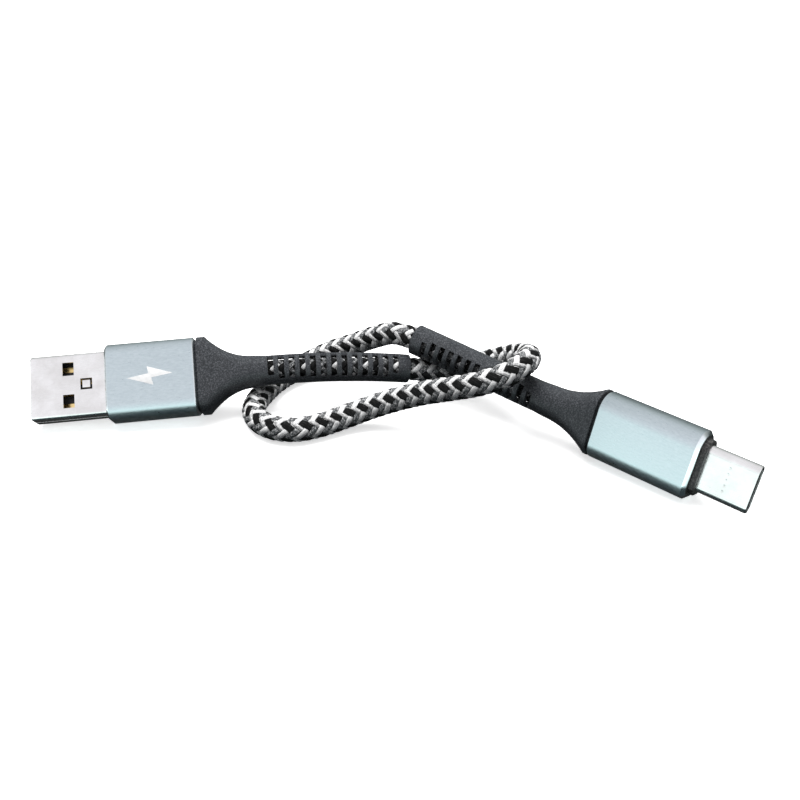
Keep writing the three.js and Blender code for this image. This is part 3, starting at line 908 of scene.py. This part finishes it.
@dataclass
class StrainRelief:
    """A collar, a flare and a ribbed tail whose slots show the cord."""

    name: str
    node: str
    cord_node: str
    throat_width: float
    throat_height: float
    length: float = 40.0
    groove: float = 0.35
    collar: float = 1.4
    spigot: float = 1.0
    fit: float = 0.1
    neck_at: float = 10.5
    neck: float = 6.1
    rib: float = 5.6
    mouth: float = 5.5
    mouth_band: float = 2.4
    slots: int = 13
    slot_pitch: float = 1.95
    slot_width: float = 1.1
    slot_margin: float = 0.35  # from a slot's edge to the next section
    slot_reach: tuple[float, float] = (-3.3, 2.15)  # where a slot ends on each side
    end_slot_trim: float = 0.55  # the first and last slots are shorter
    spine_half: float = 0.6
    flare_power: float = 2.2
    flare_steps: int = 14
    bore: float = 4.4
    gripped: float = 3.7
    grip_start: float = 6.0
    lip: float = 0.25

    def slot_starts(self) -> list[float]:
        """How far behind the sleeve each slot starts."""
        last = self.length - self.mouth_band - self.slot_width
        return [last - (self.slots - 1 - k) * self.slot_pitch for k in range(self.slots)]

    def stations(self, sleeve: SleeveSize) -> list[Station]:
        """The outside from the spigot to the mouth, and the inside back again."""
        inset = sleeve.wall + self.fit
        full = Station(-self.groove, sleeve.width, sleeve.height, sleeve.radius)
        collar_back = self.groove + self.collar
        outside = [full.shrunk(inset, self.spigot), full.shrunk(inset, -self.groove)]
        outside += [full, full.shrunk(0, -collar_back)]
        for k in range(1, self.flare_steps + 1):
            t = k / self.flare_steps
            left = (1 - t) ** self.flare_power
            width = self.neck + (sleeve.width - self.neck) * left
            height = self.neck + (sleeve.height - self.neck) * left
            radius = sleeve.radius + (self.neck / 2 - sleeve.radius) * t
            x = -(collar_back + (self.neck_at - collar_back) * t)
            outside.append(Station(x, width, height, min(radius, width / 2, height / 2)))
        starts = self.slot_starts()
        margin = self.slot_margin
        stops = [at for start in starts for at in (start - margin, start + self.slot_width + margin)]
        for at in [*stops, self.length - self.lip]:
            share = (at - starts[0]) / (self.length - starts[0])
            size = self.rib + (self.mouth - self.rib) * share
            outside.append(Station(-at, size, size, size / 2))
        end = outside[-1]
        outside.append(end.shrunk(0.3 * self.lip, -self.length + 0.3 * self.lip))
        outside.append(end.shrunk(self.lip, -self.length))
        inside = [
            Station(-at, self.bore, self.bore, self.bore / 2)
            for at in [self.length, *reversed(stops), self.neck_at, collar_back + 4.0]]
        throat = Station(-collar_back, self.throat_width, self.throat_height, 1.0)
        return [*outside, *inside, throat, throat.shrunk(0, self.spigot)]

    def slot_cutters(self) -> list[bpy.types.Object]:
        """One rounded bar for each slot on each broad side."""
        cutters = []
        for number, start in enumerate(self.slot_starts()):
            trim = self.end_slot_trim if number in (0, self.slots - 1) else 0.0
            near, far = self.slot_reach[0] + trim, self.slot_reach[1] - trim
            for side in (1, -1):
                low, high = sorted((side * self.spine_half, side * self.neck))
                cutter = block((-start - self.slot_width, near, low), (-start, far, high))
                round_upright_edges(cutter, self.slot_width * 0.49, 4)
                cutters.append(cutter)
        return cutters

    def build(
            self, pose: Pose, sleeve: SleeveSize, finishes: dict[str, bpy.types.Material],
            braid_start: float) -> None:
        """Models the strain relief and the gripped cord inside it."""
        piece = loft(self.name, self.stations(sleeve))
        cut(piece, self.slot_cutters())
        soften(piece, 0.14, 2, 38.0)
        piece.data.materials.append(finishes["boot_rubber"])
        finish_piece(piece, pose, sleeve, "boot_rubber", (self.node,))
        self.build_gripped_cord(pose, sleeve, finishes, braid_start)

    def build_gripped_cord(
            self, pose: Pose, sleeve: SleeveSize, finishes: dict[str, bpy.types.Material],
            braid_start: float) -> None:
        """Braids the cord inside the strain relief, squeezed a little thinner, with more black yarns
        than the free cord as painted shade for the boot's shadowed inside.
        """
        reach = self.length - self.fit - self.grip_start
        count = int(reach * 5.0)
        at = np.linspace(-self.length + self.fit, -self.grip_start, count)
        flat = np.stack([at, np.zeros(count), np.zeros(count)], axis=-1)
        line = pose.place(flat, sleeve) / MM
        axes = pose.axes_behind(-at)
        frames = np.stack([axes[:, :, 1], axes[:, :, 2]], axis=1)
        # Painted shade: mostly black and heather yarns where the free cord has white and flecked ones,
        # darkening the same braid for the shadow deep inside the boot.
        braid = Braid(
            self.gripped, start=braid_start, forward=(BLACK_YARN, HEATHER_YARN),
            backward=(BLACK_YARN, WHITE_YARN, BLACK_YARN, HEATHER_YARN))
        cord = braid.build(f"{self.name}_gripped_braid", line, frames)
        braid.dress(cord, finishes)
        hand_over(cord, "nylon_braid", self.cord_node)
        log.info("%s: %d faces", cord.name, len(cord.data.polygons))


# ---------------------------------------------------------------- the plugs


@dataclass
class Sleeve:
    """The anodised sleeve, with polished chamfers at both ends."""

    name: str
    node: str
    size: SleeveSize

    def build(self, pose: Pose, finish: bpy.types.Material, chamfer: bpy.types.Material) -> None:
        """Models the sleeve and dresses it."""
        size = self.size
        full = Station(0, size.width, size.height, size.radius)
        piece = loft(self.name, [
            full.shrunk(size.back, 0), full.shrunk(0, size.back),
            full.shrunk(0, size.length - size.front), full.shrunk(size.front, size.length),
            full.shrunk(size.wall, size.length),
            full.shrunk(size.wall, 0)], 14)
        piece.data.materials.append(finish)
        piece.data.materials.append(chamfer)
        ends = (size.back, size.length - size.front)
        for face in piece.data.polygons:
            slanted = face.center.x < ends[0] or face.center.x > ends[1]
            face.material_index = 1 if slanted else 0
        soften(piece, 0.05, 2, 30.0)
        finish_piece(piece, pose, size, "anodised_aluminium", (self.node,))


@dataclass
class UsbAPlug:
    """The USB-A plug: sleeve, shell with windows, mould, strain relief and mark."""

    pose: Pose
    sleeve: SleeveSize
    shell: ShellSize
    window_length: float = 2.0
    window_width: float = 2.5
    window_spacing: float = 6.1
    window_from_tip: float = 5.8
    dimple: float = 2.1
    dimple_from_tip: float = 10.0
    dimple_groove: float = 0.36
    dimple_depth: float = 0.30
    seam_half: float = 0.07
    seam_depth: float = 0.12
    mould_start: float = 1.3
    mark_length: float = 8.2
    mark_width: float = 3.6
    mark_height: float = 0.03

    def shell_cutters(self) -> list[bpy.types.Object]:
        """The windows, the detent's square groove and the seam."""
        shell = self.shell
        half = shell.height / 2
        front = shell.tip - self.window_from_tip
        cutters = []
        for side in (1, -1):
            for across in (self.window_spacing / 2, -self.window_spacing / 2):
                low, high = sorted((side * (half - 3 * shell.wall), side * (half + 1)))
                window = block(
                    (front - self.window_length, across - self.window_width / 2, low),
                    (front, across + self.window_width / 2, high))
                round_upright_edges(window, 0.15, 3)
                cutters.append(window)
            cutters.append(self.detent_cutter(side, half))
        cutters.append(block(
            (self.sleeve.length + 0.4, shell.width / 2 - self.seam_depth, -self.seam_half),
            (shell.tip + 1, shell.width / 2 + 1, self.seam_half)))
        return cutters

    def detent_cutter(self, side: int, half: float) -> bpy.types.Object:
        """A square ring that sinks a groove round the detent."""
        middle = self.shell.tip - self.dimple_from_tip
        reach = self.dimple / 2
        low, high = sorted((side * (half - self.dimple_depth), side * (half + 1)))
        ring = block((middle - reach, -reach, low), (middle + reach, reach, high))
        round_upright_edges(ring, 0.35, 4)
        bpy.ops.object.mode_set(mode="EDIT")
        bpy.ops.mesh.select_all(action="DESELECT")
        mesh = bmesh.from_edit_mesh(ring.data)
        mesh.faces.ensure_lookup_table()
        for face in mesh.faces:
            face.select_set(abs(face.normal.z) > 0.99)
        bmesh.update_edit_mesh(ring.data)
        bpy.ops.mesh.inset(thickness=self.dimple_groove, depth=0)
        bpy.ops.mesh.bridge_edge_loops()
        face_outward()
        return ring

    def build_shell(self, finish: bpy.types.Material) -> None:
        """Models the shell and dresses it."""
        shell = self.shell
        full = Station(shell.start, shell.width, shell.height, shell.radius)
        piece = loft("shell_usb_a", [
            full, full.shrunk(0, shell.tip - 0.3), full.shrunk(0.05, shell.tip - 0.1),
            full.shrunk(0.14, shell.tip), full.shrunk(shell.wall, shell.tip),
            full.shrunk(shell.wall, shell.start)], 8)
        cut(piece, self.shell_cutters())
        soften(piece, 0.05, 2, 35.0)
        piece.data.materials.append(finish)
        finish_piece(piece, self.pose, self.sleeve, "nickel_plating", ("usb_a_shell",))

    def build_mark(self, finish: bpy.types.Material) -> None:
        """Models the printed bolt on the sleeve's broad face."""
        bolt = (
            (-0.50, 0.05), (0.06, 0.50), (0.03, 0.13), (0.50, -0.04), (-0.07, -0.50), (-0.03, -0.11))
        deselect()
        bpy.ops.mesh.primitive_circle_add(
            vertices=len(bolt), radius=1.0, fill_type="NGON", location=(0, 0, 0))
        piece = bpy.context.object
        piece.name = piece.data.name = "charging_mark_print"
        middle = self.sleeve.length / 2
        face = self.sleeve.height / 2
        for vertex, (along, across) in zip(piece.data.vertices, bolt):
            vertex.co = (middle + along * self.mark_length, -across * self.mark_width, face - 0.01)
        bpy.ops.object.mode_set(mode="EDIT")
        bpy.ops.mesh.select_all(action="SELECT")
        bpy.ops.mesh.extrude_region_move(
            TRANSFORM_OT_translate={"value": (0, 0, self.mark_height)})
        face_outward()
        piece.data.materials.append(finish)
        soften(piece, 0.015, 2, 35.0)
        finish_piece(piece, self.pose, self.sleeve, None)

    def build_mould(self, finish: bpy.types.Material) -> None:
        """Models the filling between sleeve and shell."""
        inset = self.sleeve.wall + 0.1
        full = Station(0, self.sleeve.width, self.sleeve.height, self.sleeve.radius).shrunk(inset, 0)
        hole = Station(0, self.shell.width, self.shell.height, self.shell.radius).shrunk(-0.1, 0)
        front = self.sleeve.length
        piece = loft("mould_usb_a", [
            full.shrunk(0, self.mould_start), full.shrunk(0, front - 0.1), full.shrunk(0.08, front),
            hole.shrunk(0, front), hole.shrunk(0, self.mould_start)], 8)
        soften(piece, 0.03, 1, 35.0)
        piece.data.materials.append(finish)
        finish_piece(piece, self.pose, self.sleeve, "black_plastic", ("usb_a_inner_mould",))

    def build(self, finishes: dict[str, bpy.types.Material]) -> None:
        """Builds and dresses the whole plug."""
        anodised = Anodised("anodised_a").material(self.pose, self.sleeve)
        sleeve = Sleeve("sleeve_usb_a", "usb_a_sleeve", self.sleeve)
        sleeve.build(self.pose, anodised, finishes["polished_chamfer"])
        self.build_shell(NICKEL.material(self.pose, self.sleeve))
        self.build_mould(finishes["black_moulding"])
        self.build_mark(finishes["white_print"])
        relief = StrainRelief(
            "strain_relief_usb_a", "usb_a_strain_relief", "usb_a_gripped_cord", 9.4, 2.6)
        relief.build(self.pose, self.sleeve, finishes, 0.10)


@dataclass
class UsbCPlug:
    """The USB-C plug: sleeve, shell, front boss and strain relief."""

    pose: Pose
    sleeve: SleeveSize
    shell: ShellSize
    boss: float = 0.9
    boss_inset: float = 0.3
    mould_start: float = 1.3
    dimples: int = 5
    dimple_pitch: float = 1.0
    dimple_radius: float = 0.5
    dimple_depth: float = 0.05
    dimple_from_tip: float = 4.3
    crease: float = 2.95  # from the middle line
    crease_half: float = 0.05
    crease_depth: float = 0.03

    def shell_cutters(self) -> list[bpy.types.Object]:
        """The row of small dimples and the crease on each broad face."""
        half = self.shell.height / 2
        cutters = []
        for side in (1, -1):
            for k in range(self.dimples):
                across = (k - (self.dimples - 1) / 2) * self.dimple_pitch
                deselect()
                bpy.ops.mesh.primitive_ico_sphere_add(
                    subdivisions=3, radius=self.dimple_radius, location=(0, 0, 0))
                ball = bpy.context.object
                above = half + self.dimple_radius - self.dimple_depth
                x = self.shell.tip - self.dimple_from_tip
                ball.data.transform(Matrix.Translation((x, across, side * above)))
                cutters.append(ball)
            start = self.sleeve.length + self.boss - 0.2
            for across in (self.crease, -self.crease):
                low, high = sorted((side * (half - self.crease_depth), side * (half + 0.5)))
                cutters.append(block(
                    (start, across - self.crease_half, low),
                    (self.shell.tip - 0.5, across + self.crease_half, high)))
        return cutters

    def build_shell(self, finish: bpy.types.Material) -> None:
        """Models the shell and dresses it."""
        shell = self.shell
        full = Station(shell.start, shell.width, shell.height, shell.radius - 0.01)
        piece = loft("shell_usb_c", [
            full, full.shrunk(0, shell.tip - 0.35), full.shrunk(0.03, shell.tip - 0.15),
            full.shrunk(0.09, shell.tip - 0.03), full.shrunk(0.14, shell.tip),
            full.shrunk(shell.wall, shell.tip - 0.04), full.shrunk(shell.wall, shell.start)], 14)
        cut(piece, self.shell_cutters())
        soften(piece, 0.02, 1, 35.0, 16.0)
        piece.data.materials.append(finish)
        finish_piece(piece, self.pose, self.sleeve, "nickel_plating", ("usb_c_shell",))

    def build_mould(self, finish: bpy.types.Material) -> None:
        """Models the inner mould with the boss that stands out of the sleeve."""
        inset = self.sleeve.wall + 0.1
        full = Station(0, self.sleeve.width, self.sleeve.height, self.sleeve.radius).shrunk(inset, 0)
        hole = Station(0, self.shell.width, self.shell.height, self.shell.radius - 0.01).shrunk(-0.1, 0)
        edge = self.sleeve.length
        front = edge + self.boss
        piece = loft("front_boss_usb_c", [
            full.shrunk(0, self.mould_start), full.shrunk(0, edge), full.shrunk(self.boss_inset, edge),
            full.shrunk(self.boss_inset, front - 0.15),
            full.shrunk(self.boss_inset + 0.05, front - 0.04),
            full.shrunk(self.boss_inset + 0.15, front), hole.shrunk(0, front),
            hole.shrunk(0, self.mould_start)], 12)
        soften(piece, 0.03, 1, 35.0)
        piece.data.materials.append(finish)
        finish_piece(piece, self.pose, self.sleeve, "black_plastic", ("usb_c_inner_mould",))

    def build(self, finishes: dict[str, bpy.types.Material]) -> None:
        """Builds and dresses the whole plug."""
        anodised = Anodised("anodised_c").material(self.pose, self.sleeve)
        sleeve = Sleeve("sleeve_usb_c", "usb_c_sleeve", self.sleeve)
        sleeve.build(self.pose, anodised, finishes["polished_chamfer"])
        self.build_shell(NICKEL.material(self.pose, self.sleeve))
        self.build_mould(finishes["speckled_moulding"])
        relief = StrainRelief(
            "strain_relief_usb_c", "usb_c_strain_relief", "usb_c_gripped_cord", 8.9, 3.6,
            collar=0.5, rib=5.8, mouth=5.9, lip=0.15, slot_reach=(-3.3, 1.4))
        relief.build(self.pose, self.sleeve, finishes, 0.35)


# ---------------------------------------------------------------- what the frame already has


class CarriedPieces:
    """The frame's own pieces that keep their shape and get a better finish."""

    def __init__(self, finishes: dict[str, bpy.types.Material]) -> None:
        """Keeps the finishes that the pieces are dressed in."""
        self.finishes = finishes

    def finish_of(self, name: str) -> bpy.types.Material | None:
        """The finish for a piece by its name."""
        if "_lead_" in name:
            return self.finishes["lead_" + name.rsplit("_", 1)[1]]
        rules = (
            ("contact", "gold_plate"), ("latch", "spring_steel"), ("tongue", "black_moulding"),
            ("housing", "black_moulding"), ("board", "green_laminate"), ("resistor", "chip_glaze"))
        for word, finish in rules:
            if word in name:
                return self.finishes[finish]
        return None

    def dress(self) -> None:
        """Assigns the finishes to the pieces' material slots."""
        for name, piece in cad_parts.items():
            finish = self.finish_of(name)
            if finish is None:
                continue
            if not piece.material_slots:
                piece.data.materials.append(finish)
            for place in piece.material_slots:
                place.material = finish
            log.info("%s: dressed in %s", name, finish.name)


# ---------------------------------------------------------------- studio


@dataclass(frozen=True)
class Studio:
    """The camera, a plain pale floor and soft light."""

    camera_place: tuple[float, float, float] = (0.005913, -0.13096, 0.08517)
    elevation: float = 30.0
    lens: float = 39.0
    sensor: float = 36.0
    floor_half: float = 3.0
    near_edge: float = 0.25  # how far before and behind the middle the two skies mix
    lamp_place: tuple[float, float, float] = (-0.03, 0.10, 0.45)
    lamp_size: tuple[float, float] = (0.5, 0.35)
    lamp_power: float = 3.4
    near_sky: Stops = (
        (0.00, (0.03, 0.04, 0.045)), (0.27, (0.04, 0.055, 0.06)), (0.33, (0.5, 0.62, 0.64)),
        (0.38, (1.75, 2.15, 2.1)), (0.45, (1.2, 1.36, 1.38)), (0.60, (1.05, 1.12, 1.16)),
        (0.80, (1.0, 1.0, 1.06)), (1.00, (0.9, 0.9, 0.95)))
    far_sky: Stops = (
        (0.00, (0.03, 0.03, 0.03)), (0.47, (0.04, 0.05, 0.05)), (0.52, (0.25, 0.28, 0.28)),
        (0.75, (0.50, 0.53, 0.53)), (1.00, (0.9, 0.9, 0.95)))
    soft_sky: Stops = (
        (0.58, (0.012, 0.016, 0.020)), (1.0, (0.98, 0.98, 0.98)))

    def add_camera(self) -> None:
        """Makes the scene's camera."""
        data = bpy.data.cameras.new("camera")
        data.lens = self.lens
        data.sensor_width = self.sensor
        data.clip_start = 0.005
        camera = bpy.data.objects.new("camera", data)
        bpy.context.collection.objects.link(camera)
        camera.location = self.camera_place
        camera.rotation_euler = (math.radians(90 - self.elevation), 0, 0)
        bpy.context.scene.camera = camera

    def add_floor(self) -> None:
        """Makes the floor, a broad pale sheet that lights nothing from below."""
        deselect()
        bpy.ops.mesh.primitive_plane_add(size=2 * self.floor_half, location=(0, 0, 0))
        floor = bpy.context.object
        floor.name = "floor"
        nodes = Nodes("pale_floor")
        place = nodes.coordinates(Space.OBJECT)
        cloud = nodes.noise(place, 6.0, 3.0)
        nodes.paint(cloud, ((0.3, (0.93, 0.93, 0.93)), (0.7, (0.95, 0.95, 0.95))))
        nodes.set(Roughness=0.9, Specular_IOR_Level=0.0, Emission_Strength=0.6)
        nodes.shader.inputs["Emission Color"].default_value = (1, 1, 1, 1)
        floor.data.materials.append(nodes.material)
        floor.visible_glossy = False
        floor.visible_diffuse = False

    def add_sky(self) -> None:
        """Makes the soft surrounding light: bright in front and above, dim behind and below."""
        world = bpy.data.worlds.new("studio")
        world.use_nodes = True
        bpy.context.scene.world = world
        wiring = Wiring(world.node_tree)
        place = wiring.add("ShaderNodeTexCoord").outputs["Generated"]
        split = wiring.add("ShaderNodeSeparateXYZ")
        wiring.link(place, split.inputs["Vector"])
        height = wiring.span(split.outputs["Z"], (-1.0, 1.0), (0.0, 1.0))
        near = wiring.add("ShaderNodeMapRange", interpolation_type="SMOOTHSTEP")
        near.inputs["From Min"].default_value = self.near_edge
        near.inputs["From Max"].default_value = -self.near_edge
        wiring.link(split.outputs["Y"], near.inputs["Value"])
        mirrored = wiring.blend(
            near.outputs["Result"], wiring.ramp(height, self.far_sky),
            wiring.ramp(height, self.near_sky))
        glossy = wiring.add("ShaderNodeLightPath").outputs["Is Glossy Ray"]
        light = wiring.blend(glossy, wiring.ramp(height, self.soft_sky), mirrored)
        wiring.link(light, wiring.tree.nodes["Background"].inputs["Color"])

    def add_lamp(self) -> None:
        """Makes a large soft lamp overhead."""
        data = bpy.data.lights.new("soft_box", "AREA")
        data.shape = "RECTANGLE"
        data.size, data.size_y = self.lamp_size
        data.energy = self.lamp_power
        lamp = bpy.data.objects.new("soft_box", data)
        bpy.context.collection.objects.link(lamp)
        lamp.visible_glossy = False
        lamp.location = self.lamp_place
        lamp.rotation_euler = (-Vector(self.lamp_place)).to_track_quat("-Z", "Y").to_euler()


# ---------------------------------------------------------------- the whole cable


def make_finishes() -> dict[str, bpy.types.Material]:
    """The finishes that several pieces share, by name."""
    shared = [
        BLACK_YARN, FLECKED_YARN, WHITE_YARN, HEATHER_YARN, CORE, GOLD, SPRING, CHAMFER, PRINT,
        BLACK_PLASTIC, BOSS_PLASTIC, BOARD, RESISTOR, Elastomer("boot_rubber")]
    finishes = {finish.name: finish.material() for finish in shared}
    for colour, (dark, light) in LEAD_COLOURS.items():
        name = f"lead_{colour}"
        finishes[name] = Plain(name, dark, light, (0.3, 0.42), 2500.0).material()
    return finishes


def main() -> None:
    """Builds the cable in the frame."""
    logging.basicConfig(level=logging.INFO, format="%(message)s")
    bpy.context.scene.view_settings.view_transform = "Standard"
    studio = Studio()
    studio.add_camera()
    finishes = make_finishes()
    FreeCord().build(finishes)
    studio.add_floor()
    studio.add_sky()
    studio.add_lamp()
    usb_a = UsbAPlug(
        Pose(-32.0, 12.4, 187, 2.2, -47, ((12, 0, 0), (40, 4, -12))),
        SleeveSize(14.4, 7.6, 16.4, 2.5, 0.6, 0.4, 0.4),
        ShellSize(12.0, 4.5, 0.7, 0.3, 8.0, 30.0))
    usb_c = UsbCPlug(
        Pose(40.7, -3.1, -42, 2, 73, ((8, 0, 0), (24, 7, 7), (40, 14, 10))),
        SleeveSize(12.0, 7.0, 18.2, 3.0, 0.8, 0.6, 0.3),
        ShellSize(8.25, 2.4, 1.2, 0.22, 10.0, 27.4))
    usb_a.build(finishes)
    usb_c.build(finishes)
    CarriedPieces(finishes).dress()
    deselect()


if __name__ == "__main__":
    main()
